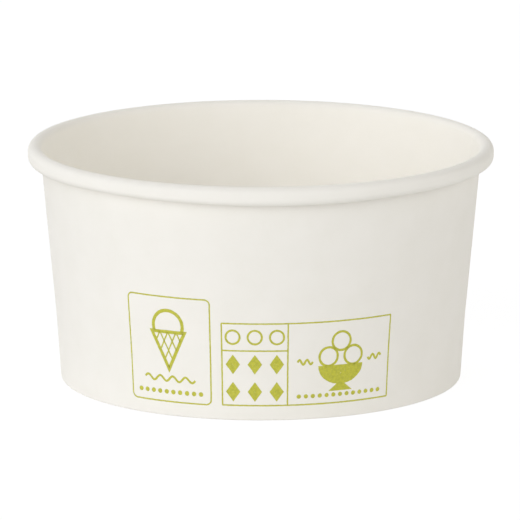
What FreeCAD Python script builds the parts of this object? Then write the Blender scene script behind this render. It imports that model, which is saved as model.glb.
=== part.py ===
"""Paper sundae cup: a sidewall of lined board, lapped, rolled at the rim and hemmed, and a drawn bottom.

Millimetres, +Z up. The origin is the middle of the foot, on the surface that the cup stands on.
The front of the cup, where it is printed, faces -Y.
"""

import FreeCAD, Part
import math
import os

# Main sizes of the cup
RIM_DIAMETER = 98.0  # over the outside of the rolled rim
CUP_HEIGHT = 50.0  # from the foot to the top of the rim
FOOT_DIAMETER = 84.5  # over the outside of the foot, on the table
BAND_HEIGHT = 12.0  # of the steeper band round the bottom
BAND_DRAFT = 3.8  # degrees from upright
SHOULDER_RADIUS = 80.0  # of the soft bend where the band turns into the wall

# The board that both pieces are cut from
WALL_BOARD = 0.40
BOTTOM_BOARD = 0.36
SEAL_FILM = 0.02  # melted lining that fills each sealed joint

# The rolled rim
BEAD_HEIGHT = 3.8
BEAD_RADIUS = 1.5  # of the roll at its top and underneath
ROLL_CLEARANCE = 0.05  # between the returning roll and the lapped wall
ROLL_TUCK = 25.0  # degrees that the roll runs on past upright, inside itself

# The side seam, just behind the right-hand edge as the front is seen
SEAM_AZIMUTH = 12.5  # degrees from +X, of the blank's inner edge
LAP_WIDTH = 5.0  # of the two layers, from the inner edge towards the front
LAP_BOARD = 0.30  # the outer layer, thinned by the press
STEP_WIDTH = 1.5  # over which the blank climbs onto its own inner edge
SECTORS = 4  # that the rest of the turn is made in

# The hem at the foot, folded in and up round the bottom's skirt
HEM_HEIGHT = 7.5
FOLD_RADIUS = 0.05  # inside each corner of the pressed fold

# The bottom
PANEL_HEIGHT = 10.5  # top of the flat panel above the table
DRAW_RADIUS = 1.0  # where the panel turns down into the skirt
SKIRT_CLEARANCE = 0.10  # between the skirt's cut edge and the fold

AXIS = FreeCAD.Vector(0, 0, 1)
CENTRE = FreeCAD.Vector(0, 0, 0)


def direction(heading):
    """Unit vector along a heading in the meridian plane, degrees from +r towards +z."""
    return math.cos(math.radians(heading)), math.sin(math.radians(heading))


class BoardPath:
    """One face of a board in the meridian plane, as straight runs and tangent bends.

    The board's thickness lies on the right of the path. Each layer of it is the same path, shifted right.
    """

    def __init__(self, radius, height, heading):
        self.start = (radius, height)
        self.heading = heading
        self.steps = []

    def run(self, length):
        self.steps.append(("run", length))

    def bend(self, radius, turn):
        """Adds an arc of this radius. A positive turn is to the left."""
        self.steps.append(("bend", radius, turn))

    def edges(self, shift):
        """The path moved to the right by shift, as points: (start, middle or None, end) of each step."""
        heading = self.heading
        along_r, along_z = direction(heading)
        r = self.start[0] + shift * along_z
        z = self.start[1] - shift * along_r
        made = []
        for step in self.steps:
            if step[0] == "run":
                along_r, along_z = direction(heading)
                end = (r + step[1] * along_r, z + step[1] * along_z)
                made.append(((r, z), None, end))
            else:
                side = 1 if step[2] > 0 else -1
                radius = step[1] + side * shift
                along_r, along_z = direction(heading)
                centre = (r - side * radius * along_z, z + side * radius * along_r)
                points = []
                for share in (0.5, 1.0):
                    along_r, along_z = direction(heading + share * step[2])
                    points.append((centre[0] + side * radius * along_z, centre[1] - side * radius * along_r))
                made.append(((r, z), points[0], points[1]))
                end = points[1]
                heading += step[2]
            r, z = end
        return made

    def section(self, near, far):
        """The board between two shifts of the path, as a closed wire in the XZ plane."""
        def at(point):
            return FreeCAD.Vector(point[0], 0, point[1])

        def face_edges(steps):
            edges = []
            for start, middle, end in steps:
                if middle is None:
                    edges.append(Part.LineSegment(at(start), at(end)).toShape())
                else:
                    edges.append(Part.Arc(at(start), at(middle), at(end)).toShape())
            return edges

        near_steps = self.edges(near)
        far_steps = [(end, middle, start) for start, middle, end in reversed(self.edges(far))]
        near_start, near_end = near_steps[0][0], near_steps[-1][2]
        far_start, far_end = far_steps[0][0], far_steps[-1][2]
        edges = face_edges(near_steps)
        edges.append(Part.LineSegment(at(near_end), at(far_start)).toShape())
        edges.extend(face_edges(far_steps))
        edges.append(Part.LineSegment(at(far_end), at(near_start)).toShape())
        return Part.Wire(edges)


# What follows from the sizes above, all for the lined face of the sidewall
DRAFT_COS = math.cos(math.radians(BAND_DRAFT))
DRAFT_SIN = math.sin(math.radians(BAND_DRAFT))
DRAFT_TAN = math.tan(math.radians(BAND_DRAFT))
RIM_RADIUS = RIM_DIAMETER / 2
BAND_RADIUS = FOOT_DIAMETER / 2 - WALL_BOARD / DRAFT_COS  # of the lined face, carried down to the table
POCKET = BOTTOM_BOARD + 2 * SEAL_FILM  # room for the skirt between the wall and the hem


def upper_wall():
    """(lean in degrees, length) of the straight wall between the shoulder and the rim's roll."""
    shoulder = (
        BAND_RADIUS + BAND_HEIGHT * DRAFT_TAN + SHOULDER_RADIUS * DRAFT_COS,
        BAND_HEIGHT - SHOULDER_RADIUS * DRAFT_SIN,
    )
    roll = (RIM_RADIUS - BEAD_RADIUS, CUP_HEIGHT - BEAD_RADIUS)
    across, up = roll[0] - shoulder[0], roll[1] - shoulder[1]
    spread = SHOULDER_RADIUS - BEAD_RADIUS
    length = math.sqrt(across**2 + up**2 - spread**2)
    heading = math.degrees(math.atan2(up, across) - math.atan2(spread, length))
    return 90 - heading, length


WALL_LEAN, WALL_LENGTH = upper_wall()


def return_radius():
    """Radius at which the roll comes back up inside itself, just clear of the lapped wall."""
    lean = math.radians(WALL_LEAN)
    slit = LAP_BOARD + ROLL_CLEARANCE
    below = BEAD_HEIGHT - BEAD_RADIUS
    room = below * math.tan(lean) + (BEAD_RADIUS - WALL_BOARD) / math.cos(lean) - slit
    return room / (1 + math.tan(lean))


def sidewall_path(lift):
    """The lined face of the sidewall, from the hem's edge round the foot, up the wall and round the rim.

    lift raises the foot's fold along the band, for a layer that is pressed level with the one above it.
    """
    fold_height = WALL_BOARD + FOLD_RADIUS
    hem_radius = BAND_RADIUS - POCKET / DRAFT_COS
    path = BoardPath(hem_radius + HEM_HEIGHT * DRAFT_TAN, HEM_HEIGHT, -90 - BAND_DRAFT)
    path.run((HEM_HEIGHT - fold_height - FOLD_RADIUS * DRAFT_SIN - lift) / DRAFT_COS)
    path.bend(FOLD_RADIUS, 90 + BAND_DRAFT)
    path.run((POCKET - 2 * FOLD_RADIUS) / DRAFT_COS)
    path.bend(FOLD_RADIUS, 90 - BAND_DRAFT)
    path.run((BAND_HEIGHT - fold_height + FOLD_RADIUS * DRAFT_SIN - lift) / DRAFT_COS)
    path.bend(SHOULDER_RADIUS, BAND_DRAFT - WALL_LEAN)
    path.run(WALL_LENGTH)
    path.bend(BEAD_RADIUS, WALL_LEAN - 180)
    path.run(BEAD_HEIGHT - 2 * BEAD_RADIUS)
    path.bend(BEAD_RADIUS, -90)
    path.bend(return_radius(), -90 - ROLL_TUCK)
    return path


def bottom_path():
    """The top face of the bottom, from its middle out to the skirt's cut edge."""
    skirt_radius = BAND_RADIUS - SEAL_FILM / DRAFT_COS
    bend_height = PANEL_HEIGHT - DRAW_RADIUS
    skirt_end = WALL_BOARD + SKIRT_CLEARANCE
    path = BoardPath(0, PANEL_HEIGHT, 0)
    path.run(skirt_radius + bend_height * DRAFT_TAN - DRAW_RADIUS / DRAFT_COS)
    path.bend(DRAW_RADIUS, -90 - BAND_DRAFT)
    path.run((bend_height - DRAW_RADIUS * DRAFT_SIN - skirt_end) / DRAFT_COS)
    return path


def turned(wire, azimuth, sweep):
    """Solid that a section makes as it turns about the axis by sweep degrees, from azimuth."""
    face = Part.Face(wire)
    face.rotate(CENTRE, AXIS, azimuth)
    return face.revolve(CENTRE, AXIS, sweep)


def sidewall():
    """The blank wound once round, stepped over its inner edge and lapped on it."""
    lap_angle = math.degrees(LAP_WIDTH / RIM_RADIUS)
    step_angle = math.degrees(STEP_WIDTH / RIM_RADIUS)
    outer_face = WALL_BOARD + LAP_BOARD
    single = sidewall_path(0).section(0, WALL_BOARD)
    lapped = sidewall_path(LAP_BOARD).section(WALL_BOARD, outer_face)
    sector = (360 - step_angle - lap_angle) / SECTORS
    lap_start = SEAM_AZIMUTH - lap_angle
    pieces = [turned(single, lap_start, lap_angle), turned(lapped, lap_start, lap_angle)]
    for index in range(SECTORS):
        pieces.append(turned(single, SEAM_AZIMUTH + step_angle + index * sector, sector))
    step_start = single.copy()
    step_start.rotate(CENTRE, AXIS, SEAM_AZIMUTH + step_angle)
    step_end = lapped.copy()
    step_end.rotate(CENTRE, AXIS, SEAM_AZIMUTH)
    pieces.append(Part.makeLoft([step_start, step_end], True, True))
    return pieces[0].fuse(pieces[1:])


def bottom():
    """The disc drawn down at its edge into the skirt."""
    return turned(bottom_path().section(0, BOTTOM_BOARD), 0, 360)


def main():
    os.makedirs("parts", exist_ok=True)
    for name, make in (("sidewall", sidewall), ("bottom", bottom)):
        shape = make()
        shape.exportStep(f"parts/{name}.step")
        print(name, "solids", len(shape.Solids), "valid", shape.isValid(), "volume", round(shape.Volume, 2))
    print("wall leans", round(WALL_LEAN, 3), "degrees; roll returns at", round(return_radius(), 3), "mm")


main()
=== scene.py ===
"""Looks of the paper sundae cup: a wound sidewall, a drawn bottom, a label in lime ink, and the studio."""

import logging
import math
from collections.abc import Callable
from dataclasses import dataclass, field, replace
from enum import Enum
from functools import partial

import bmesh
import bpy
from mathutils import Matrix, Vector, noise


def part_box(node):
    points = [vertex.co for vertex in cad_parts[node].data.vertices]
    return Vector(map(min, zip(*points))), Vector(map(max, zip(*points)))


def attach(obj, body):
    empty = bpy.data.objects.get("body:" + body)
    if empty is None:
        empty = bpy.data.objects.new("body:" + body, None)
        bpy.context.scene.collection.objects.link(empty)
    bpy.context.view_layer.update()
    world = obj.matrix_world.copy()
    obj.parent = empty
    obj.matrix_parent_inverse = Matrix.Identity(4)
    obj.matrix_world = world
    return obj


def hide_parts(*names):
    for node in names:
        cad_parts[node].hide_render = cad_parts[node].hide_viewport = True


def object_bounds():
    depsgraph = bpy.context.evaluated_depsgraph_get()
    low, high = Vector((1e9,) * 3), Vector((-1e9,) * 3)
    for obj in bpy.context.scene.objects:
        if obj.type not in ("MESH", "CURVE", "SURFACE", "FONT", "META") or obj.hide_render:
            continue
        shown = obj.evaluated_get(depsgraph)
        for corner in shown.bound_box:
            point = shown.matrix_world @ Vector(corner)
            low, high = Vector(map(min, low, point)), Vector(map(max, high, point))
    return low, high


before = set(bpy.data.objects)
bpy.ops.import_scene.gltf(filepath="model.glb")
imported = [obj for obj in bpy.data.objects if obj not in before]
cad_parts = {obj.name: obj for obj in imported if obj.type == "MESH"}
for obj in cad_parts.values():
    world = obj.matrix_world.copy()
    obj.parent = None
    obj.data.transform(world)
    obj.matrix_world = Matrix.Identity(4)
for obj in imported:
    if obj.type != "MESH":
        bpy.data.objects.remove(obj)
CAD_LOW, CAD_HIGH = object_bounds()

log = logging.getLogger("sundae_cup")
MM = 0.001
FULL_TURN = 2 * math.pi
MERGE_DISTANCE = 1e-7  # metres, below which two points are one
SHARP_ANGLE = math.radians(40)  # past which an edge stays sharp
PAPER_NOISE = 0.55  # roughness of the noise in paper and ink
WHITE = (1.0, 1.0, 1.0, 1.0)

Point = tuple[float, float]
Adder = Callable[..., bpy.types.Node]  # add_node for one tree

# The node kinds that are added most
MATH = "ShaderNodeMath"
VECTOR_MATH = "ShaderNodeVectorMath"
MAP_RANGE = "ShaderNodeMapRange"
JOIN_XYZ = "ShaderNodeCombineXYZ"
SPLIT_XYZ = "ShaderNodeSeparateXYZ"
NOISE = "ShaderNodeTexNoise"
COLOUR_MIX = "ShaderNodeMix"
BUMP = "ShaderNodeBump"
MIX_FIRST, MIX_SECOND, MIX_RESULT = 6, 7, 2  # a colour mix's sockets, which share their names with others
WHOLE_A, WHOLE_B = 2, 3  # the same of a comparison of whole numbers


def linear_colour(srgb_hex: str) -> tuple[float, float, float, float]:
    """Turns a colour as it is seen on a screen into the linear one that a shader takes.

    Args:
        srgb_hex: six hex digits, such as "F4F1EA".

    Returns:
        Red, green, blue and an alpha of 1, linear.
    """
    channels = [int(srgb_hex[index:index + 2], 16) / 255 for index in (0, 2, 4)]
    curve = [value / 12.92 if value <= 0.04045 else ((value + 0.055) / 1.055) ** 2.4 for value in channels]
    return curve[0], curve[1], curve[2], 1.0


def add_node(tree: bpy.types.NodeTree, kind: str, *values: object, inputs: dict | None = None,
             **settings: object) -> bpy.types.Node:
    """Adds a node with its settings and links.

    Args:
        tree: the node tree.
        kind: the node's Blender type.
        values: what its inputs take, in order: a value, a socket, or a node for its first output.
        inputs: what further inputs take, by name or number.
        settings: the node's own properties.

    Returns:
        The node.
    """
    node = tree.nodes.new(kind)
    for name, value in settings.items():
        setattr(node, name, value)
    for key, value in {**dict(enumerate(values)), **(inputs or {})}.items():
        source = value.outputs[0] if isinstance(value, bpy.types.Node) else value
        if isinstance(source, bpy.types.NodeSocket):
            tree.links.new(source, node.inputs[key])
        else:
            node.inputs[key].default_value = source
    return node


def empty_material(name: str) -> bpy.types.Material:
    """Makes a material whose node tree is empty.

    Args:
        name: the material's name.

    Returns:
        The material.
    """
    material = bpy.data.materials.new(name)
    material.use_nodes = True
    material.node_tree.nodes.clear()
    return material


@dataclass(frozen=True)
class Spots:
    """Soft spots of another tone in a finish, from noise."""

    size: float
    tone: str  # sRGB hex
    fade: tuple[float, float] = (0.0, 1.0)  # of the noise, that a spot fades in over
    grain: float = 3.0  # detail


@dataclass(frozen=True)
class Finish:
    """A finish of board or ink. Its patterns lie on the piece's own coordinates."""

    name: str
    colour: str  # sRGB hex of the clean surface
    roughness: float
    spots: tuple[Spots, ...]
    gloss_spread: float = 0.0  # by which the spots are rougher, and the rest smoother
    ior: float = 1.5  # of fibre, clay, film and ink alike
    specular: float = 0.5
    fibre_size: float = 0.0  # of the fibres that break up the spots, where they show
    fibre_fade: tuple[float, float] = (0.3, 0.75)
    fibre_grain: float = 3.0
    least_tone: float = 0.4  # of a spot's tone, left between the fibres
    relief: float = 0.0  # depth of the fibres
    ribs: int = 0  # upright, in a full turn
    rib_depth: float = 0.15 * MM
    rib_fade: tuple[float, float] = (-0.6, 0.9)  # of their wave, so that crests are wider than grooves
    rib_heights: tuple[float, float] = (1.2 * MM, 6.9 * MM)  # between which they stand
    rib_ends: float = 0.5 * MM  # over which they fade out

    def ribbed(self, add: Adder, place: bpy.types.NodeSocket) -> bpy.types.Node:
        """Adds the press's ribs.

        Args:
            add: adds a node to the material.
            place: the point of the surface.

        Returns:
            The node whose output is the ribs' normal.
        """
        parts = add(SPLIT_XYZ, place).outputs
        azimuth = add(MATH, parts["Y"], parts["X"], operation="ARCTAN2")
        phase = add(MATH, azimuth, float(self.ribs), operation="MULTIPLY")
        crests = add(MAP_RANGE, add(MATH, phase, operation="SINE"), *self.rib_fade)
        low, high = self.rib_heights
        above = add(MAP_RANGE, parts["Z"], low, low + self.rib_ends)
        below = add(MAP_RANGE, parts["Z"], high - self.rib_ends, high, 1.0, 0.0)
        between = add(MATH, above, below, operation="MULTIPLY")
        height = add(MATH, between, crests, operation="MULTIPLY")
        return add(BUMP, inputs={"Height": height, "Distance": self.rib_depth, "Strength": 1.0})

    def build(self) -> bpy.types.Material:
        """Makes the material of this finish.

        Returns:
            The material.
        """
        material = empty_material(self.name)
        add = partial(add_node, material.node_tree)
        place = add("ShaderNodeTexCoord").outputs["Object"]
        surface = {"Roughness": self.roughness, "IOR": self.ior, "Specular IOR Level": self.specular}
        if self.fibre_size:
            texture = {"Scale": 1 / self.fibre_size, "Detail": self.fibre_grain, "Roughness": PAPER_NOISE}
            fibres = add(NOISE, place, inputs=texture)
            cover = add(MAP_RANGE, fibres, *self.fibre_fade, self.least_tone, 1.0)
            relief = {"Height": fibres, "Distance": self.relief, "Strength": 1.0}
            if self.ribs:
                relief["Normal"] = self.ribbed(add, place)
            surface["Normal"] = add(BUMP, inputs=relief)
        colour: object = linear_colour(self.colour)
        for spots in self.spots:
            texture = {"Scale": 1 / spots.size, "Detail": spots.grain, "Roughness": PAPER_NOISE}
            share = add(MAP_RANGE, add(NOISE, place, inputs=texture), *spots.fade)
            if self.gloss_spread:
                gloss = (self.roughness - self.gloss_spread, self.roughness + self.gloss_spread)
                surface["Roughness"] = add(MAP_RANGE, share, 0.0, 1.0, *gloss)
            if self.fibre_size:
                share = add(MATH, share, cover, operation="MULTIPLY")
            tones = {MIX_FIRST: colour, MIX_SECOND: linear_colour(spots.tone)}
            colour = add(COLOUR_MIX, share, inputs=tones, data_type="RGBA").outputs[MIX_RESULT]
        shader = add("ShaderNodeBsdfPrincipled", inputs={"Base Color": colour, "Metallic": 0.0, **surface})
        add("ShaderNodeOutputMaterial", shader)
        return material


def pulp_clouds(tone: str) -> tuple[Spots, ...]:
    """The clouds of a board, where its fibres lie thicker."""
    return (Spots(7 * MM, tone, fade=(0.35, 0.7)),)


# The outside of the wall, pressed from bleached fibre, coated with clay and polished by steel rollers: an
# even, matt white with faint warm clouds. The fibres scatter what a smooth face would reflect. Real ones are
# 0.03 mm thick, and are drawn ten times as coarse, so that they show
PRINTED_BOARD = Finish("clay-coated board", "FAF7F0", 0.7, pulp_clouds("F7F4EC"), gloss_spread=0.04,
                       specular=0.05, fibre_size=0.35 * MM, relief=0.006 * MM)
# The inside, under a thin film that is melted on: the whitest, and dull, because the film follows the fibres
LINED_BOARD = replace(PRINTED_BOARD, name="film-lined board", colour="FCF9F2", roughness=0.8,
                      spots=pulp_clouds("FAF7EF"))
# The underside of the bottom, bare: creamier, with the fibres standing out
UNCOATED_BOARD = replace(PRINTED_BOARD, name="uncoated board", colour="F5F0E6", roughness=0.9,
                         spots=pulp_clouds("ECE5D7"), relief=0.02 * MM)
# The inside of the foot, knurled by the press that seals it: fine upright stripes of light and shade
HEM_BOARD = replace(PRINTED_BOARD, name="knurled hem board", roughness=0.75, spots=pulp_clouds("F4F0E7"),
                    ribs=150)
# The edge, sheared by a die: torn layers of fibre, warmer and rougher than the faces. The layers are drawn
# about twice as coarse as real ones, so that they show
CUT_EDGE = Finish("die-cut board edge", "EAE4D6", 0.92, (Spots(0.12 * MM, "D8CFBC", grain=4.0),),
                  fibre_size=0.12 * MM, fibre_grain=4.0, least_tone=1.0, relief=0.03 * MM)
# Ink laid on by a soft raised plate: a satin lime that pools in mottles and thins out in small specks. The
# specks are drawn about twice as coarse as real ones, so that they show
LIME_INK = Finish("lime flexographic ink", "CAC83D", 0.6, (
    Spots(0.45 * MM, "B7B73A", fade=(0.38, 0.66)),
    Spots(0.16 * MM, "D9D78C", fade=(0.6, 0.78), grain=2.0),
))


class Face(Enum):
    """What a face of the board is. The value stands for it in the meshes."""

    LINED = 0
    PRINTED = 1
    CUT = 2
    HEM = 3


@dataclass(frozen=True)
class Station:
    """One place along the board's section, on its lined face."""

    radius: float
    height: float
    across: tuple[float, float]  # unit vector through the board, to its printed face
    lift: float  # share of the lap's lift, 1 in the foot's fold
    rolled: float  # 0 on the wall, 1 from the roll's top on


class BoardPath:
    """The lined face of the board in the meridian plane, as straight runs and tangent bends."""

    def __init__(self, radius: float, height: float, heading: float) -> None:
        """Starts the path.

        Args:
            radius: from the cup's axis, in metres.
            height: above the table, in metres.
            heading: degrees from outward towards up.
        """
        self.radius = radius
        self.height = height
        self.heading = heading
        self.stations: list[Station] = []
        self.mark(0.0, 0.0)

    def across(self) -> tuple[float, float]:
        """Unit vector to the right of the path, where the printed face lies."""
        angle = math.radians(self.heading)
        return math.sin(angle), -math.cos(angle)

    def mark(self, lift: float, rolled: float) -> None:
        """Adds a station where the path now is."""
        self.stations.append(Station(self.radius, self.height, self.across(), lift, rolled))

    def run(self, length: float, count: int = 1, lift: tuple[float, float] = (0.0, 0.0),
            rolled: float = 0.0) -> None:
        """Adds a straight run.

        Args:
            length: in metres.
            count: how many stations it adds.
            lift: share of the lap's lift at its start and its end.
            rolled: share of the roll.
        """
        angle = math.radians(self.heading)
        for index in range(count):
            share = (index + 1) / count
            self.radius += length / count * math.cos(angle)
            self.height += length / count * math.sin(angle)
            self.mark(lift[0] + share * (lift[1] - lift[0]), rolled)

    def bend(self, radius: float, turn: float, count: int, lift: float = 0.0,
             rolled: tuple[float, float] = (0.0, 0.0)) -> None:
        """Adds a tangent arc.

        Args:
            radius: in metres.
            turn: degrees, positive to the left.
            count: how many stations it adds.
            lift: share of the lap's lift.
            rolled: share of the roll at its start and its end.
        """
        side = 1 if turn > 0 else -1
        across = self.across()
        centre = (self.radius - side * radius * across[0], self.height - side * radius * across[1])
        for index in range(count):
            share = (index + 1) / count
            self.heading += turn / count
            across = self.across()
            self.radius = centre[0] + side * radius * across[0]
            self.height = centre[1] + side * radius * across[1]
            self.mark(lift, rolled[0] + share * (rolled[1] - rolled[0]))


@dataclass
class CupShape:
    """Sizes that the sidewall, the bottom and the label share, as the solids have them."""

    rim_radius: float = CAD_HIGH.x
    height: float = CAD_HIGH.z
    foot_radius: float = 42.25 * MM
    band_height: float = 12 * MM
    band_draft: float = 3.8  # degrees
    shoulder_radius: float = 80 * MM
    wall_board: float = 0.40 * MM
    bottom_board: float = 0.36 * MM
    seal_film: float = 0.02 * MM
    bead_height: float = 3.8 * MM
    bead_radius: float = 1.5 * MM
    roll_clearance: float = 0.05 * MM
    roll_tuck: float = 25.0  # degrees
    lap_board: float = 0.30 * MM
    hem_height: float = 7.5 * MM
    fold_radius: float = 0.05 * MM
    panel_height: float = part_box("bottom")[1].z
    draw_radius: float = 1.0 * MM
    skirt_clearance: float = 0.10 * MM

    def __post_init__(self) -> None:
        """Works out what follows from the sizes."""
        draft = math.radians(self.band_draft)
        self.draft_cos = math.cos(draft)
        self.draft_sin = math.sin(draft)
        self.draft_tan = math.tan(draft)
        self.band_radius = self.foot_radius - self.wall_board / self.draft_cos
        self.pocket = self.bottom_board + 2 * self.seal_film
        across = self.rim_radius - self.bead_radius - self.band_radius
        across -= self.band_height * self.draft_tan + self.shoulder_radius * self.draft_cos
        up = self.height - self.bead_radius - self.band_height + self.shoulder_radius * self.draft_sin
        spread = self.shoulder_radius - self.bead_radius
        self.wall_length = math.sqrt(across**2 + up**2 - spread**2)
        self.lean = 90 - math.degrees(math.atan2(up, across) - math.atan2(spread, self.wall_length))

    def return_radius(self) -> float:
        """Works out the roll's radius where it comes back up inside itself.

        Returns:
            The radius, in metres.
        """
        lean = math.radians(self.lean)
        below = self.bead_height - self.bead_radius
        room = below * math.tan(lean) + (self.bead_radius - self.wall_board) / math.cos(lean)
        room -= self.lap_board + self.roll_clearance
        return room / (1 + math.tan(lean))

    def sidewall_path(self) -> BoardPath:
        """Draws the sidewall's lined face.

        Returns:
            The path from the hem's cut edge round the foot, up the wall and round the rim.
        """
        fold_height = self.wall_board + self.fold_radius
        hem_radius = self.band_radius - self.pocket / self.draft_cos
        hem_edge = hem_radius + self.hem_height * self.draft_tan
        path = BoardPath(hem_edge, self.hem_height, -90 - self.band_draft)
        hem_run = (self.hem_height - fold_height - self.fold_radius * self.draft_sin) / self.draft_cos
        band_run = (self.band_height - fold_height + self.fold_radius * self.draft_sin) / self.draft_cos
        path.run(hem_run, count=5, lift=(0.0, 1.0))
        path.bend(self.fold_radius, 90 + self.band_draft, count=7, lift=1.0)
        path.run((self.pocket - 2 * self.fold_radius) / self.draft_cos, lift=(1.0, 1.0))
        path.bend(self.fold_radius, 90 - self.band_draft, count=7, lift=1.0)
        path.run(band_run, count=6, lift=(1.0, 0.0))
        path.bend(self.shoulder_radius, self.band_draft - self.lean, count=3)
        path.run(self.wall_length, count=12)
        path.bend(self.bead_radius, self.lean - 90, count=9, rolled=(0.0, 1.0))
        path.bend(self.bead_radius, -90, count=9, rolled=(1.0, 1.0))
        path.run(self.bead_height - 2 * self.bead_radius, rolled=1.0)
        path.bend(self.bead_radius, -90, count=9, rolled=(1.0, 1.0))
        path.bend(self.return_radius(), -90 - self.roll_tuck, count=10, rolled=(1.0, 1.0))
        return path

    def bottom_path(self) -> BoardPath:
        """Draws the bottom's top face.

        Returns:
            The path from its middle out to the skirt's cut edge.
        """
        skirt_radius = self.band_radius - self.seal_film / self.draft_cos
        bend_height = self.panel_height - self.draw_radius
        skirt_end = self.wall_board + self.skirt_clearance
        path = BoardPath(0.0, self.panel_height, 0.0)
        path.run(skirt_radius + bend_height * self.draft_tan - self.draw_radius / self.draft_cos, count=24)
        path.bend(self.draw_radius, -90 - self.band_draft, count=9)
        path.run((bend_height - self.draw_radius * self.draft_sin - skirt_end) / self.draft_cos, count=4)
        return path


def geometry_tree(name: str, inputs: dict[str, str]) -> bpy.types.GeometryNodeTree:
    """Makes an empty Geometry Nodes tree that takes and gives a geometry.

    Args:
        name: the tree's name.
        inputs: the socket type of each further input, by its name.

    Returns:
        The tree.
    """
    tree = bpy.data.node_groups.new(name, "GeometryNodeTree")
    tree.interface.new_socket("Geometry", in_out="INPUT", socket_type="NodeSocketGeometry")
    for label, kind in inputs.items():
        tree.interface.new_socket(label, in_out="INPUT", socket_type=kind)
    tree.interface.new_socket("Geometry", in_out="OUTPUT", socket_type="NodeSocketGeometry")
    return tree


def mesh_from_tree(mesh: bpy.types.Mesh, tree: bpy.types.GeometryNodeTree, values: dict) -> bpy.types.Mesh:
    """Runs a mesh through a tree.

    Args:
        mesh: what the tree starts from.
        tree: the tree.
        values: its inputs' values, by name.

    Returns:
        The result, a plain mesh.
    """
    carrier = bpy.data.objects.new(mesh.name, mesh)
    bpy.context.scene.collection.objects.link(carrier)
    modifier = carrier.modifiers.new(tree.name, "NODES")
    modifier.node_group = tree
    for item in tree.interface.items_tree:
        if item.in_out == "INPUT" and item.name in values:
            modifier[item.identifier] = values[item.name]
    result = bpy.data.meshes.new_from_object(carrier.evaluated_get(bpy.context.evaluated_depsgraph_get()))
    bpy.data.objects.remove(carrier)
    return result


def finished_piece(name: str, mesh: bpy.types.Mesh) -> bpy.types.Object:
    """Makes a piece of a plain mesh: faces outward, smooth but for its sharp edges, riding on the cup.

    Args:
        name: the piece's name.
        mesh: its mesh, in place.

    Returns:
        The piece's object.
    """
    shape = bmesh.new()
    shape.from_mesh(mesh)
    bmesh.ops.remove_doubles(shape, verts=shape.verts, dist=MERGE_DISTANCE)
    bmesh.ops.recalc_face_normals(shape, faces=shape.faces)
    shape.to_mesh(mesh)
    shape.free()
    mesh.shade_smooth()
    mesh.set_sharp_from_angle(angle=SHARP_ANGLE)
    piece = bpy.data.objects.new(name, mesh)
    bpy.context.scene.collection.objects.link(piece)
    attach(piece, "root")
    log.info("%s: %d faces", name, len(mesh.polygons))
    return piece


# What the blank carries into the winding, with its type. The kind lies on the faces, the rest on the points
CARRIED = {
    "turn": "FLOAT",  # how far round the row lies, in radians
    "layer": "FLOAT",  # 0 on the lined face, 1 on the printed one
    "lift": "FLOAT",
    "rolled": "FLOAT",
    "lined": "FLOAT_VECTOR",  # the point of the lined face, before it is turned
    "across": "FLOAT_VECTOR",
    "kind": "INT",
}


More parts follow.
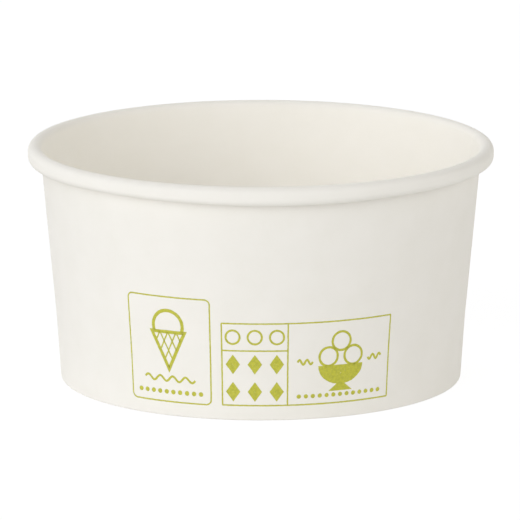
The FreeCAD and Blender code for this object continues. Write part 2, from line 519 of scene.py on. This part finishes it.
@dataclass
class Sidewall:
    """The blank of board, wound once round, stepped over its own inner edge and lapped on it."""

    shape: CupShape
    seam_azimuth: float = 12.5  # degrees from +X, of the blank's inner edge
    lap_width: float = 5.0 * MM
    step_width: float = 1.5 * MM
    row_angle: float = 1.2  # degrees between the blank's rows
    lap_rows: int = 8  # on the lap, and as many on the step
    hem_facing: float = -0.9  # how far inward a printed face looks, where it is the hem's
    foot_press: float = 1.5  # seal films that the lap's foot is pressed in, so that no faces share a plane
    wander: float = 0.06 * MM  # that the wall strays from a true circle
    wander_size: float = 30 * MM
    wander_foot: float = 0.15  # share of it at the foot
    seed: float = 7.0
    swell: float = 0.045  # share by which the roll is higher or lower than it should be
    swell_azimuth: float = -84.0  # degrees from +X, where it is highest
    swell_waves: float = 4.0  # in a full turn
    dent_azimuth: float = -58.5  # degrees from +X, of a small dent under the roll
    dent_width: float = 6.0  # degrees to each side
    dent: float = 0.22 * MM

    def turns(self) -> list[float]:
        """Spaces the blank's rows.

        Returns:
            How far round each row lies, in radians from the inner edge.
        """
        lap = self.lap_width / self.shape.rim_radius
        step = self.step_width / self.shape.rim_radius
        rows = round((FULL_TURN - step) / math.radians(self.row_angle))
        turns = [index * (FULL_TURN - step) / rows for index in range(rows)]
        turns += [FULL_TURN - step + index * step / self.lap_rows for index in range(self.lap_rows)]
        turns += [FULL_TURN + index * lap / self.lap_rows for index in range(self.lap_rows + 1)]
        return turns

    def blank(self) -> bpy.types.Mesh:
        """Makes the board before it is wound: a grid of stations by rows, closed round its cut edges.

        Returns:
            A mesh whose points and faces carry what the winding needs, as attributes.
        """
        stations = self.shape.sidewall_path().stations
        loop = [(station, 0.0) for station in stations] + [(stations[-1], 0.5)]
        loop += [(station, 1.0) for station in reversed(stations)] + [(stations[0], 0.5)]
        turns = self.turns()
        rows = [(turns[0], True)] + [(turn, False) for turn in turns] + [(turns[-1], True)]
        points = [(station, 0.5 if end else layer, turn) for turn, end in rows for station, layer in loop]
        width = len(loop)
        faces = []
        kinds = []
        for row, (here, following) in enumerate(zip(rows, rows[1:])):
            low = row * width
            for index, (station, layer) in enumerate(loop):
                after = (index + 1) % width
                faces.append((low + index, low + after, low + width + after, low + width + index))
                layers = {layer, loop[after][1], *([0.5] if here[1] or following[1] else [])}
                hem = station.height < self.shape.hem_height and station.across[0] < self.hem_facing
                outside = Face.HEM if hem else Face.PRINTED
                kinds.append(Face.CUT if 0.5 in layers else outside if 1.0 in layers else Face.LINED)
        mesh = bpy.data.meshes.new("sidewall_blank")
        mesh.from_pydata([(turn, station.height, layer) for station, layer, turn in points], [], faces)
        values = {
            "turn": [turn for _, _, turn in points],
            "layer": [layer for _, layer, _ in points],
            "lift": [station.lift for station, _, _ in points],
            "rolled": [station.rolled for station, _, _ in points],
            "lined": [size for station, _, _ in points for size in (station.radius, 0.0, station.height)],
            "across": [part for station, _, _ in points
                       for part in (station.across[0], 0.0, station.across[1])],
            "kind": [kind.value for kind in kinds],
        }
        for name, kind in CARRIED.items():
            carried = mesh.attributes.new(name, kind, "FACE" if kind == "INT" else "POINT").data
            carried.foreach_set("vector" if kind == "FLOAT_VECTOR" else "value", values[name])
        return mesh

    def winding_inputs(self) -> dict[str, float]:
        """Names the numbers that the winding takes.

        Returns:
            Their values by name, in the order of the tree's sockets.
        """
        shape = self.shape
        return {
            "Seam azimuth": math.radians(self.seam_azimuth),
            "Step angle": self.step_width / shape.rim_radius,
            "Board": shape.wall_board,
            "Lap board": shape.lap_board,
            "Seal film": shape.seal_film,
            "Foot press": self.foot_press,
            "Draft": shape.draft_tan,
            "Cup height": shape.height,
            "Bead height": shape.bead_height,
            "Swell": self.swell,
            "Swell azimuth": math.radians(self.swell_azimuth),
            "Swell waves": self.swell_waves,
            "Dent": self.dent,
            "Dent azimuth": math.radians(self.dent_azimuth),
            "Dent width": math.radians(self.dent_width),
            "Wander": self.wander,
            "Wander size": self.wander_size,
            "Wander at foot": self.wander_foot,
            "Seed": self.seed,
        }

    def winding_tree(self) -> bpy.types.GeometryNodeTree:
        """Builds the node tree that winds the blank into the cup's wall.

        Returns:
            The tree, with its sizes and materials as named inputs.
        """
        sockets = {name: "NodeSocketFloat" for name in self.winding_inputs()}
        sockets.update({kind.name: "NodeSocketMaterial" for kind in Face})
        tree = geometry_tree("wind_board", sockets)
        add = partial(add_node, tree)
        given = add("NodeGroupInput").outputs
        blank = {name: add("GeometryNodeInputNamedAttribute", name, data_type=kind).outputs["Attribute"]
                 for name, kind in CARRIED.items()}

        # The board's thickness, and the step on to its own inner edge
        azimuth = add(MATH, given["Seam azimuth"], blank["turn"], operation="SUBTRACT")
        step_start = add(MATH, FULL_TURN, given["Step angle"], operation="SUBTRACT")
        lapping = add(MAP_RANGE, blank["turn"], step_start, FULL_TURN)
        thinning = add(MATH, given["Lap board"], given["Board"], operation="SUBTRACT")
        thickness = add(MATH, lapping, thinning, given["Board"], operation="MULTIPLY_ADD")
        climb = add(MATH, given["Board"], given["Seal film"], operation="ADD")
        climbed = add(MATH, lapping, climb, operation="MULTIPLY")
        shift = add(MATH, blank["layer"], thickness, climbed, operation="MULTIPLY_ADD")
        outward = add(VECTOR_MATH, blank["across"], inputs={"Scale": shift}, operation="SCALE")
        placed = add(VECTOR_MATH, blank["lined"], outward, operation="ADD")

        # The press on the lap's foot
        films = add(MATH, given["Seal film"], given["Foot press"], operation="MULTIPLY")
        pressed = add(MATH, films, given["Lap board"], operation="ADD")
        lap_lift = add(MATH, pressed, lapping, operation="MULTIPLY")
        lift = add(MATH, lap_lift, blank["lift"], operation="MULTIPLY")
        up_the_band = add(JOIN_XYZ, given["Draft"], 0.0, 1.0)
        lifted = add(VECTOR_MATH, up_the_band, inputs={"Scale": lift}, operation="SCALE")
        radius, _, height = add(SPLIT_XYZ, add(VECTOR_MATH, placed, lifted, operation="ADD")).outputs

        # The roll's swell
        depth = add(MATH, given["Cup height"], height, operation="SUBTRACT")
        from_peak = add(MATH, azimuth, given["Swell azimuth"], operation="SUBTRACT")
        phase = add(MATH, from_peak, given["Swell waves"], operation="MULTIPLY")
        wave = add(MATH, given["Swell"], add(MATH, phase, operation="COSINE"), operation="MULTIPLY")
        swell = add(MATH, wave, blank["rolled"], operation="MULTIPLY")
        lower = add(MATH, depth, swell, operation="MULTIPLY")

        # The dent under the roll
        from_dent = add(MATH, azimuth, given["Dent azimuth"], operation="SUBTRACT")
        off_dent = add(MATH, add(MATH, from_dent, math.pi, -math.pi, operation="WRAP"), operation="ABSOLUTE")
        near = add(MAP_RANGE, off_dent, 0.0, given["Dent width"], 1.0, 0.0, interpolation_type="SMOOTHSTEP")
        half_bead = add(MATH, given["Bead height"], 0.5, operation="MULTIPLY")
        under = add(MAP_RANGE, depth, half_bead, given["Bead height"])
        under_roll = add(MATH, under, blank["rolled"], operation="MULTIPLY")
        dent_here = add(MATH, given["Dent"], near, operation="MULTIPLY")
        dent = add(MATH, dent_here, under_roll, operation="MULTIPLY")

        # The wall's wander, always inward
        sides = [add(MATH, azimuth, operation=name) for name in ("COSINE", "SINE")]
        circle = add(JOIN_XYZ, *[add(MATH, side, radius, operation="MULTIPLY") for side in sides], height)
        fineness = add(MATH, 1.0, given["Wander size"], operation="DIVIDE")
        seeded = {"W": given["Seed"], "Scale": fineness, "Detail": 1.0}
        noise_here = add(NOISE, circle, inputs=seeded, noise_dimensions="4D")
        stray = add(MATH, noise_here, given["Wander"], operation="MULTIPLY")
        upward = add(MAP_RANGE, height, 0.0, given["Cup height"], given["Wander at foot"], 1.0)
        strayed = add(MATH, radius, add(MATH, stray, upward, operation="MULTIPLY"), operation="SUBTRACT")
        wall = add(MATH, strayed, dent, operation="SUBTRACT")

        sunk = add(MATH, height, lower, operation="SUBTRACT")
        position = add(JOIN_XYZ, *[add(MATH, side, wall, operation="MULTIPLY") for side in sides], sunk)
        wound = add("GeometryNodeSetPosition", given["Geometry"], inputs={"Position": position})
        result = add("GeometryNodeRealizeInstances", wound)
        for kind in Face:
            compared = {WHOLE_A: blank["kind"], WHOLE_B: kind.value}
            chosen = add("FunctionNodeCompare", inputs=compared, data_type="INT", operation="EQUAL")
            result = add("GeometryNodeSetMaterial", result, chosen, given[kind.name])
        add("NodeGroupOutput", result)
        return tree

    def build(self, finishes: dict[Face, bpy.types.Material]) -> bpy.types.Object:
        """Winds the blank and makes it the cup's sidewall.

        Args:
            finishes: the material of each kind of face.

        Returns:
            The sidewall's object, a plain mesh.
        """
        values = {**self.winding_inputs(), **{kind.name: finishes[kind] for kind in Face}}
        mesh = mesh_from_tree(self.blank(), self.winding_tree(), values)
        for name in CARRIED:
            mesh.attributes.remove(mesh.attributes[name])
        piece = finished_piece("wound_sidewall", mesh)
        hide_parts("sidewall")
        return piece


@dataclass
class Bottom:
    """The disc of board, drawn down at its edge into a skirt."""

    shape: CupShape
    segments: int = 240
    sag: float = 0.18 * MM  # of the panel's middle
    ripple: float = 0.05 * MM
    ripple_size: float = 18 * MM

    def build(self, finishes: dict[Face, bpy.types.Material]) -> bpy.types.Object:
        """Turns the disc's section round the axis.

        Args:
            finishes: the material of each kind of face. The underside takes the printed face's.

        Returns:
            The bottom's object.
        """
        stations = self.shape.bottom_path().stations
        flat_radius = max(station.radius for station in stations if station.across[0] == 0.0)
        loop = [(station, 0.0) for station in stations] + [(station, 1.0) for station in reversed(stations)]
        shape = bmesh.new()
        rings: list[list[bmesh.types.BMVert]] = []
        for station, layer in loop:
            radius = station.radius + layer * self.shape.bottom_board * station.across[0]
            height = station.height + layer * self.shape.bottom_board * station.across[1]
            inward = max(0.0, 1 - (radius / flat_radius) ** 2)
            ring = []
            for index in range(self.segments if radius else 1):
                angle = FULL_TURN * index / self.segments
                x = radius * math.cos(angle)
                y = radius * math.sin(angle)
                wave = noise.noise(Vector((x, y, 0.0)) / self.ripple_size)
                ring.append(shape.verts.new((x, y, height - inward * (self.sag + self.ripple * wave))))
            rings.append(ring)
        kinds = {(0.0, 0.0): Face.LINED, (0.0, 1.0): Face.CUT, (1.0, 1.0): Face.PRINTED}
        for (inner, outer), (here, following) in zip(zip(rings, rings[1:]), zip(loop, loop[1:])):
            for index in range(self.segments):
                after = (index + 1) % self.segments
                corners = [inner[index % len(inner)], inner[after % len(inner)],
                           outer[after % len(outer)], outer[index % len(outer)]]
                face = shape.faces.new(list(dict.fromkeys(corners)))
                face.material_index = kinds[here[1], following[1]].value
        mesh = bpy.data.meshes.new("bottom")
        shape.to_mesh(mesh)
        shape.free()
        for kind in (Face.LINED, Face.PRINTED, Face.CUT):
            mesh.materials.append(finishes[kind])
        piece = finished_piece("drawn_bottom", mesh)
        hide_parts("bottom")
        return piece


@dataclass
class Label:
    """Shapes in lime ink on the printed face, each piece of them thin closed films that follow the wall.

    A point of the label is (s, h): s runs to the right along the wall from the middle of the front, as long
    as it is at the reference radius, and h is the height above the table.
    """

    wall: bpy.types.Object
    ink: bpy.types.Material
    reference_radius: float = 43.5 * MM
    reach: float = 60 * MM  # from the axis, where the rays that find the wall start
    line: float = 0.31 * MM  # width of the frames' lines
    bold: float = 0.72 * MM  # width of the pictograms' lines
    wavy: float = 0.45 * MM  # width of the wavy lines
    film: float = 0.012 * MM  # that the ink stands on the board, and reaches into it
    longest_side: float = 0.4 * MM  # between two points along an outline
    arc_step: float = 10.0  # degrees between two points along an arc
    arc_points: int = 6  # that an arc has at least
    wave_points: int = 12  # along each wave
    mitre: float = 0.4  # the least share of a corner's line that is across it, which keeps its tip short
    eye: float = 0.02  # share of a solid's reach that is open in its middle, where its rows would meet
    raggedness: float = 0.045 * MM  # of the ink's edge
    ragged_size: float = 0.5 * MM
    seed: int = 7  # of the raggedness
    films: dict[str, tuple[list, list]] = field(default_factory=dict)  # flat points and faces of each piece

    def __post_init__(self) -> None:
        """Seeds the noise that moves the ink's edge, which would start from the clock."""
        noise.seed_set(self.seed)

    def laying_tree(self) -> bpy.types.GeometryNodeTree:
        """Builds the node tree that lays the flat films on the wall, each point by a ray towards the axis.

        Returns:
            The tree. It takes points of s, h and the rise above the board.
        """
        tree = geometry_tree("lay_on_wall", {
            "Wall": "NodeSocketObject",
            "Reference radius": "NodeSocketFloat",
            "Reach": "NodeSocketFloat",
            "Ink": "NodeSocketMaterial",
        })
        add = partial(add_node, tree)
        given = add("NodeGroupInput").outputs
        along, height, rise = add(SPLIT_XYZ, add("GeometryNodeInputPosition")).outputs
        angle = add(MATH, along, given["Reference radius"], operation="DIVIDE")
        front = add(MATH, add(MATH, angle, operation="COSINE"), -1.0, operation="MULTIPLY")
        outward = add(JOIN_XYZ, add(MATH, angle, operation="SINE"), front)
        level = add(JOIN_XYZ, 0.0, 0.0, height)
        start = add(VECTOR_MATH, outward, inputs={"Scale": given["Reach"]}, operation="SCALE")
        met = add("GeometryNodeRaycast", inputs={
            "Target Geometry": add("GeometryNodeObjectInfo", given["Wall"]).outputs["Geometry"],
            "Source Position": add(VECTOR_MATH, start, level, operation="ADD"),
            "Ray Direction": add(VECTOR_MATH, outward, inputs={"Scale": -1.0}, operation="SCALE"),
            "Ray Length": given["Reach"],
        }).outputs
        off_the_wall = add(VECTOR_MATH, met["Hit Normal"], inputs={"Scale": rise}, operation="SCALE")
        position = add(VECTOR_MATH, met["Hit Position"], off_the_wall, operation="ADD")
        laid = add("GeometryNodeSetPosition", given["Geometry"], inputs={"Position": position})
        whole = add("GeometryNodeRealizeInstances", laid)
        add("NodeGroupOutput", add("GeometryNodeSetMaterial", whole, inputs={"Material": given["Ink"]}))
        return tree

    def build(self) -> None:
        """Lays all the films on the wall, as one piece for each name."""
        tree = self.laying_tree()
        values = {
            "Wall": self.wall,
            "Reference radius": self.reference_radius,
            "Reach": self.reach,
            "Ink": self.ink,
        }
        for name, (points, faces) in self.films.items():
            flat = bpy.data.meshes.new(name)
            flat.from_pydata(points, [], faces)
            finished_piece(name, mesh_from_tree(flat, tree, values))

    def ragged(self, point: Point, layer: int) -> Point:
        """Moves a point of an outline a little, as ink spreads.

        Args:
            point: the point.
            layer: of the noise that moves it, which strokes and solids have one each of.

        Returns:
            The moved point.
        """
        push = noise.noise_vector(Vector((*point, layer * MM)) / self.ragged_size)
        return point[0] + push.x * self.raggedness, point[1] + push.y * self.raggedness

    def closed_film(self, name: str, rows: list[list[Point]], closed: bool) -> None:
        """Adds a film to a piece, from rows of label points of one length.

        Args:
            name: the piece's name.
            rows: the rows of points, side by side.
            closed: whether the last row meets the first.
        """
        points, faces = self.films.setdefault(name, ([], []))
        width = len(rows[0])
        first = len(points)
        below = len(rows) * width
        points += [(*point, rise) for rise in (self.film, -self.film) for row in rows for point in row]
        sides: dict[tuple[int, int], None] = {}
        for row in range(len(rows) if closed else len(rows) - 1):
            low = first + row * width
            high = first + (row + 1) % len(rows) * width
            for index in range(width - 1):
                corners = (low + index, low + index + 1, high + index + 1, high + index)
                faces.append(corners)
                faces.append(tuple(corner + below for corner in reversed(corners)))
                sides.update(dict.fromkeys(zip(corners, corners[1:] + corners[:1])))
        for start, end in sides:
            if (end, start) not in sides:
                faces.append((start, start + below, end + below, end))

    def resampled(self, points: list[Point], closed: bool) -> list[Point]:
        """Puts points into an outline until none are further apart than the longest side.

        Args:
            points: the outline's corners.
            closed: whether it comes back to its start.

        Returns:
            The same outline with more points.
        """
        result = []
        for start, end in zip(points, points[1:] + (points[:1] if closed else [])):
            count = max(1, math.ceil(math.dist(start, end) / self.longest_side))
            for index in range(count):
                share = index / count
                result.append(tuple(near + share * (far - near) for near, far in zip(start, end)))
        return result if closed else result + [points[-1]]

    def stroke(self, name: str, points: list[Point], width: float, closed: bool = False) -> None:
        """Draws a line of even width with mitred corners.

        Args:
            name: the piece's name.
            points: the line's middle.
            width: of the line.
            closed: whether it comes back to its start.
        """
        middle = self.resampled(points, closed)
        rows = []
        for index, point in enumerate(middle):
            before = middle[index - 1] if closed or index else point
            after = middle[(index + 1) % len(middle)] if closed or index + 1 < len(middle) else point
            back = Vector((point[0] - before[0], point[1] - before[1]))
            ahead = Vector((after[0] - point[0], after[1] - point[1]))
            back = (back if back.length else ahead).normalized()
            ahead = (ahead if ahead.length else back).normalized()
            along = (back + ahead).normalized()
            side = Vector((-along.y, along.x)) * (width / 2 / max(self.mitre, along.dot(ahead)))
            rows.append([self.ragged((point[0] + side.x * share, point[1] + side.y * share), 1)
                         for share in (-1, 0, 1)])
        self.closed_film(name, rows, closed)

    def solid(self, name: str, outline: list[Point]) -> None:
        """Fills a convex outline with ink.

        Args:
            name: the piece's name.
            outline: its corners, in order.
        """
        edge = [self.ragged(point, 2) for point in self.resampled(outline, True)]
        middle = (sum(point[0] for point in edge) / len(edge), sum(point[1] for point in edge) / len(edge))
        reach = max(math.dist(point, middle) for point in edge)
        count = max(2, math.ceil(reach / self.longest_side))
        shares = [self.eye + (1 - self.eye) * index / count for index in range(count + 1)]
        rows = [[tuple(near + share * (far - near) for near, far in zip(middle, point)) for share in shares]
                for point in edge]
        self.closed_film(name, rows, True)

    def arc(self, centre: Point, radius: float, start: float, end: float,
            stretch: float = 1.0) -> list[Point]:
        """Plots an arc.

        Args:
            centre: its middle.
            radius: its radius, in metres.
            start: degrees from the right, where it starts.
            end: degrees, where it ends.
            stretch: scale of its height.

        Returns:
            Points from start to end.
        """
        count = max(self.arc_points, math.ceil(abs(end - start) / self.arc_step))
        angles = [math.radians(start + (end - start) * index / count) for index in range(count + 1)]
        return [(centre[0] + radius * math.cos(angle), centre[1] + stretch * radius * math.sin(angle))
                for angle in angles]

    def circle(self, centre: Point, radius: float) -> list[Point]:
        """Points once round a circle, for a closed stroke or a solid."""
        return self.arc(centre, radius, 0, 360 - self.arc_step)

    def frame(self, name: str, left: float, right: float, low: float, high: float, corner: float) -> None:
        """Draws a frame with rounded corners.

        Args:
            name: the piece's name.
            left: its left side.
            right: its right side.
            low: its lower side.
            high: its upper side.
            corner: radius of its corners.
        """
        points = self.arc((right - corner, high - corner), corner, 90, 0)
        points += self.arc((right - corner, low + corner), corner, 0, -90)
        points += self.arc((left + corner, low + corner), corner, -90, -180)
        points += self.arc((left + corner, high - corner), corner, 180, 90)
        self.stroke(name, points, self.line, closed=True)

    def wave(self, name: str, start: float, end: float, height: float, rise: float, waves: int) -> None:
        """Draws a wavy line.

        Args:
            name: the piece's name.
            start: s at its start.
            end: s at its end.
            height: of its middle.
            rise: of a crest over the middle.
            waves: how many it has.
        """
        count = self.wave_points * waves
        points = [(start + (end - start) * index / count,
                   height + rise * math.sin(FULL_TURN * waves * index / count)) for index in range(count + 1)]
        self.stroke(name, points, self.wavy)

    def dots(self, name: str, left: float, right: float, height: float, count: int, radius: float) -> None:
        """Draws a row of dots.

        Args:
            name: the piece's name.
            left: s of the first dot.
            right: s of the last dot.
            height: of their middles.
            count: how many there are.
            radius: of each.
        """
        for index in range(count):
            self.solid(name, self.circle((left + (right - left) * index / (count - 1), height), radius))


@dataclass
class ConePanel:
    """The tall panel of the label: a scoop on a cone, over a wave and a row of dots."""

    label: Label
    left: float = -28.95 * MM
    right: float = -10.5 * MM
    low: float = 3.1 * MM
    high: float = 25.5 * MM
    corner: float = 1.1 * MM
    scoop: float = 3.3 * MM  # radius
    scoop_arc: tuple[float, float] = (-22, 202)  # degrees
    scoop_depth: float = 6.2 * MM  # of its middle below the frame's top
    brim: float = 3.7 * MM  # half the width of the cone's mouth
    mouth_depth: float = 1.3 * MM  # below the scoop's middle
    tip_depth: float = 9.2 * MM  # below the scoop's middle
    lattice: tuple[float, ...] = (0.25, 0.5, 0.75)  # where its lines meet the cone's sides
    lattice_gap: float = 0.02 * MM  # to each side, so that the two lines from the middle share no point
    wave_inset: float = 3.4 * MM
    wave_height: float = 4.9 * MM  # above the frame's foot
    wave_rise: float = 0.55 * MM
    waves: int = 4
    dot_inset: float = 2.2 * MM
    dot_height: float = 2.1 * MM  # above the frame's foot
    dot: float = 0.5 * MM  # radius
    dots: int = 10

    def draw(self) -> None:
        """Draws the panel."""
        label = self.label
        middle = (self.left + self.right) / 2
        label.frame("cone_panel_frame", self.left, self.right, self.low, self.high, self.corner)
        centre = (middle, self.high - self.scoop_depth)
        label.stroke("cone_scoop", label.arc(centre, self.scoop, *self.scoop_arc), label.bold)
        tip = (middle, centre[1] - self.tip_depth)
        mouth = centre[1] - self.mouth_depth
        wafer = [(middle - self.brim, mouth), (middle + self.brim, mouth), tip]
        label.stroke("cone_wafer", wafer, label.bold, closed=True)
        for share in self.lattice:
            for side in (-1, 1):
                start = (middle + side * (self.brim * (2 * share - 1) + self.lattice_gap), mouth)
                end = (middle + side * self.brim * share, mouth + (1 - share) * (tip[1] - mouth))
                label.stroke("cone_lattice", [start, end], label.line)
        label.wave("cone_wave", self.left + self.wave_inset, self.right - self.wave_inset,
                   self.low + self.wave_height, self.wave_rise, self.waves)
        label.dots("cone_dots", self.left + self.dot_inset, self.right - self.dot_inset,
                   self.low + self.dot_height, self.dots, self.dot)


@dataclass
class DishPanel:
    """The wide panel of the label: rings and diamonds in a narrow cell, a dish of scoops in a wide one."""

    label: Label
    left: float = -8.08 * MM
    right: float = 28.5 * MM
    low: float = 3.25 * MM
    high: float = 20.7 * MM
    corner: float = 0.12 * MM
    divider: float = 5.6 * MM  # from the middle of the front
    shelf: float = 14.9 * MM  # height of the line across the narrow cell
    columns: int = 3  # of rings and of diamonds
    ring: float = 1.45 * MM  # radius
    ring_line: float = 0.42 * MM
    diamond_rows: int = 2
    diamond: tuple[float, float] = (1.5 * MM, 2.1 * MM)  # half its width and half its height
    brim_depth: float = 9.4 * MM  # below the frame's top
    bowl: float = 5.0 * MM  # radius
    bowl_depth: float = 0.82  # share of the radius
    foot: tuple[float, float] = (2.7 * MM, 0.9 * MM)  # half its width, below and above
    foot_depths: tuple[float, float] = (5.5 * MM, 4.0 * MM)  # below the brim, of its two ends
    scoop: float = 2.0 * MM  # radius
    scoop_line: float = 0.5 * MM
    scoops: tuple[Point, ...] = ((-2.75 * MM, 1.9 * MM), (2.75 * MM, 1.9 * MM), (0.0, 5.1 * MM))
    wave_ends: tuple[float, float] = (9.4 * MM, 6.2 * MM)  # to each side of the dish
    wave_height: float = 1.0 * MM  # above the brim
    wave_rise: float = 0.5 * MM
    waves: int = 2
    dot_inset: float = 2.4 * MM
    dot_height: float = 1.75 * MM  # above the frame's foot
    dot: float = 0.46 * MM  # radius
    dots: int = 13

    def draw(self) -> None:
        """Draws the panel."""
        label = self.label
        label.frame("dish_panel_frame", self.left, self.right, self.low, self.high, self.corner)
        label.stroke("dish_panel_divider", [(self.divider, self.low), (self.divider, self.high)], label.line)
        label.stroke("dish_panel_shelf", [(self.left, self.shelf), (self.divider, self.shelf)], label.line)
        self.draw_narrow_cell()
        self.draw_dish()
        label.dots("dish_dots", self.divider + self.dot_inset, self.right - self.dot_inset,
                   self.low + self.dot_height, self.dots, self.dot)

    def draw_narrow_cell(self) -> None:
        """Draws the rings and, under the shelf, the diamonds."""
        label = self.label
        cell = self.divider - self.left
        across = [self.left + cell * (index + 0.5) / self.columns for index in range(self.columns)]
        for x in across:
            outline = label.circle((x, (self.shelf + self.high) / 2), self.ring)
            label.stroke("rings", outline, self.ring_line, closed=True)
        wide, tall = self.diamond
        for row in range(self.diamond_rows):
            y = self.low + (self.shelf - self.low) * (row + 0.5) / self.diamond_rows
            for x in across:
                label.solid("diamonds", [(x + wide, y), (x, y + tall), (x - wide, y), (x, y - tall)])

    def draw_dish(self) -> None:
        """Draws the dish with its scoops, and a wavy line to each side."""
        label = self.label
        middle = (self.divider + self.right) / 2
        brim = self.high - self.brim_depth
        label.solid("dish_bowl", label.arc((middle, brim), self.bowl, 180, 360, self.bowl_depth))
        base, neck = self.foot
        low, high = (brim - depth for depth in self.foot_depths)
        foot = [(middle - base, low), (middle + base, low), (middle + neck, high), (middle - neck, high)]
        label.solid("dish_foot", foot)
        for offset, rise in self.scoops:
            outline = label.circle((middle + offset, brim + rise), self.scoop)
            label.stroke("dish_scoops", outline, self.scoop_line, closed=True)
        outer, inner = self.wave_ends
        for side in (-1, 1):
            label.wave("dish_waves", middle + side * outer, middle + side * inner, brim + self.wave_height,
                       self.wave_rise, self.waves)


@dataclass(frozen=True)
class SoftLight:
    """A wide, low light of the room, as a soft lobe round one direction."""

    azimuth: float  # degrees from the front, positive to the right
    elevation: float  # degrees
    strength: float
    colour: str = "FFFFFF"  # sRGB hex
    focus: float = 10.0  # the power that the lobe falls off with

    def direction(self) -> tuple[float, float, float]:
        """Works out where the light is.

        Returns:
            Unit vector from the cup towards it.
        """
        azimuth = math.radians(self.azimuth)
        elevation = math.radians(self.elevation)
        flat = math.cos(elevation)
        return math.sin(azimuth) * flat, -math.cos(azimuth) * flat, math.sin(elevation)


@dataclass
class Studio:
    """A white sweep in a white room with wide soft lights, and the photograph's camera."""

    floor_size: float = 6.0
    floor_white: float = 0.6  # share of light that the floor gives back
    floor_glow: float = 0.225  # of its own, as a lit table has
    seen_white: float = 0.16  # the same two as the camera sees them, which leaves a faint shadow
    seen_glow: float = 0.9
    fill: float = 0.12  # of the room between its lights
    lights: tuple[SoftLight, ...] = (
        SoftLight(-45, 20, 2.98, "FCFDFF"),
        SoftLight(0, 20, 1.42),
        SoftLight(90, 20, 2.05, "FFFDF8"),
        SoftLight(180, 20, 1.3),
        SoftLight(-135, 36, 1.65, "FCFDFF"),
    )
    focal_px: float = 6177.9  # in the photograph's frame
    frame_px: float = 520.0
    centre_px: tuple[float, float] = (260.81, 258.27)
    sensor: float = 36.0
    distance: float = 1.3036
    elevation: float = 12.184  # degrees
    aim_height: float = 25 * MM
    clip: tuple[float, float] = (0.1, 20.0)  # nearest and furthest that the camera sees

    def seen(self, add: Adder) -> bpy.types.Node:
        """Adds the nodes that tell what is seen from what gathers light.

        Args:
            add: adds a node to the material or the world.

        Returns:
            A node that is 1 for a ray from the camera or by way of gloss or glass, and 0 for the rest.
        """
        path = add("ShaderNodeLightPath").outputs
        gloss = add(MATH, path["Is Glossy Ray"], path["Is Transmission Ray"], operation="MAXIMUM")
        return add(MATH, path["Is Camera Ray"], gloss, operation="MAXIMUM")

    def world(self) -> None:
        """Makes the room: its soft lights and the fill between them, and plain white where it is seen."""
        world = bpy.data.worlds.new("white room")
        bpy.context.scene.world = world
        world.use_nodes = True
        world.node_tree.nodes.clear()
        add = partial(add_node, world.node_tree)
        toward = add("ShaderNodeTexCoord").outputs["Generated"]
        total: object = (self.fill,) * 3
        for light in self.lights:
            facing = add(VECTOR_MATH, toward, light.direction(), operation="DOT_PRODUCT").outputs["Value"]
            lobe = add(MATH, add(MATH, facing, 0.0, operation="MAXIMUM"), light.focus, operation="POWER")
            strength = add(MATH, lobe, light.strength, operation="MULTIPLY")
            colour = linear_colour(light.colour)[:3]
            glow = add(VECTOR_MATH, colour, inputs={"Scale": strength}, operation="SCALE")
            total = add(VECTOR_MATH, total, glow, operation="ADD")
        lit = add("ShaderNodeBackground", total, 1.0)
        white = add("ShaderNodeBackground", WHITE, 1.0)
        add("ShaderNodeOutputWorld", add("ShaderNodeMixShader", self.seen(add), lit, white))

    def floor(self) -> None:
        """Makes the white floor, which keeps a faint shadow of the cup."""
        mesh = bpy.data.meshes.new("floor")
        reach = self.floor_size / 2
        corners = [(-reach, -reach, 0.0), (reach, -reach, 0.0), (reach, reach, 0.0), (-reach, reach, 0.0)]
        mesh.from_pydata(corners, [], [(0, 1, 2, 3)])
        floor = bpy.data.objects.new("floor", mesh)
        bpy.context.scene.collection.objects.link(floor)
        material = empty_material("white sweep paper")
        add = partial(add_node, material.node_tree)
        looks = []
        for white, glow in ((self.floor_white, self.floor_glow), (self.seen_white, self.seen_glow)):
            matt = add("ShaderNodeBsdfDiffuse", (white, white, white, 1.0))
            looks.append(add("ShaderNodeAddShader", matt, add("ShaderNodeEmission", WHITE, glow)))
        add("ShaderNodeOutputMaterial", add("ShaderNodeMixShader", self.seen(add), *looks))
        mesh.materials.append(material)

    def camera(self) -> None:
        """Sets the photograph's camera, as the cup's outline in it gives it."""
        data = bpy.data.cameras.new("camera")
        data.sensor_width = self.sensor
        data.lens = self.focal_px / self.frame_px * self.sensor
        data.shift_x = 0.5 - self.centre_px[0] / self.frame_px
        data.shift_y = self.centre_px[1] / self.frame_px - 0.5
        data.clip_start, data.clip_end = self.clip
        camera = bpy.data.objects.new("camera", data)
        tilt = math.radians(self.elevation)
        rise = self.aim_height + self.distance * math.sin(tilt)
        camera.location = (0.0, -self.distance * math.cos(tilt), rise)
        camera.rotation_euler = (math.radians(90) - tilt, 0.0, 0.0)
        bpy.context.scene.collection.objects.link(camera)
        bpy.context.scene.camera = camera

    def build(self) -> None:
        """Sets the whole studio."""
        bpy.context.scene.view_settings.view_transform = "Standard"
        self.camera()
        self.world()
        self.floor()


def main() -> None:
    """Builds the cup and its studio."""
    logging.basicConfig(level=logging.INFO, format="%(name)s: %(message)s")
    Studio().build()
    shape = CupShape()
    edge = CUT_EDGE.build()
    lined = LINED_BOARD.build()
    sidewall = Sidewall(shape).build({
        Face.LINED: lined,
        Face.PRINTED: PRINTED_BOARD.build(),
        Face.CUT: edge,
        Face.HEM: HEM_BOARD.build(),
    })
    Bottom(shape).build({Face.LINED: lined, Face.PRINTED: UNCOATED_BOARD.build(), Face.CUT: edge})
    label = Label(sidewall, LIME_INK.build())
    ConePanel(label).draw()
    DishPanel(label).draw()
    label.build()


if __name__ == "__main__":
    main()
